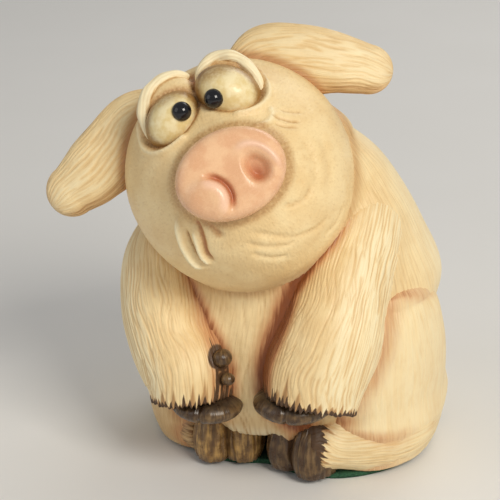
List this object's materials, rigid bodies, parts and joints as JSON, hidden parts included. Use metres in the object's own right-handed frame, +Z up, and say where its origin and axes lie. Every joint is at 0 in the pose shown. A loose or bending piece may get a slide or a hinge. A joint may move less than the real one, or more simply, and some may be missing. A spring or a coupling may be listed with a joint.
{
  "type": "pig figurine",
  "caption": "Sitting pig ornament with its head tilted up, floppy ears, bulging eyes and forelegs held before the belly, on a felt base pad.",
  "frame": {"origin": "middle of the round foot, on the underside of the felt pad that the pig stands on", "axes": "+Z up from the shelf to the ears, -Y the way the seated pig faces, +X to the pig's own left"},
  "size_m": [0.0648, 0.0674, 0.0767],
  "materials": {
    "painted_resin": "cast stone, cream paint with a brown wash, satin",
    "snout_paint": "cast stone, pink gloss paint",
    "eye_paint": "cast stone, pale yellow satin paint",
    "pupil_bead": "black gloss",
    "hoof_paint": "cast stone, dark brown gloss paint",
    "trotter_paint": "cast stone, golden brown gloss paint",
    "green_felt": "felt"
  },
  "bodies": {
    "root": {"body": "painted_resin", "head": "painted_resin", "snout": "snout_paint", "left_eyeball": "eye_paint", "right_eyeball": "eye_paint", "left_pupil": "pupil_bead", "right_pupil": "pupil_bead", "left_ear": "painted_resin", "right_ear": "painted_resin", "left_foreleg": "painted_resin", "right_foreleg": "painted_resin", "left_fore_hoof": "hoof_paint", "right_fore_hoof": "hoof_paint", "right_dewclaw": "hoof_paint", "right_lower_dewclaw": "hoof_paint", "left_haunch": "painted_resin", "right_haunch": "painted_resin", "left_hind_trotter": "trotter_paint", "right_hind_trotter": "trotter_paint", "right_hind_dewclaw": "trotter_paint", "tail": "painted_resin", "felt_pad": "green_felt"}
  },
  "joints": []
}
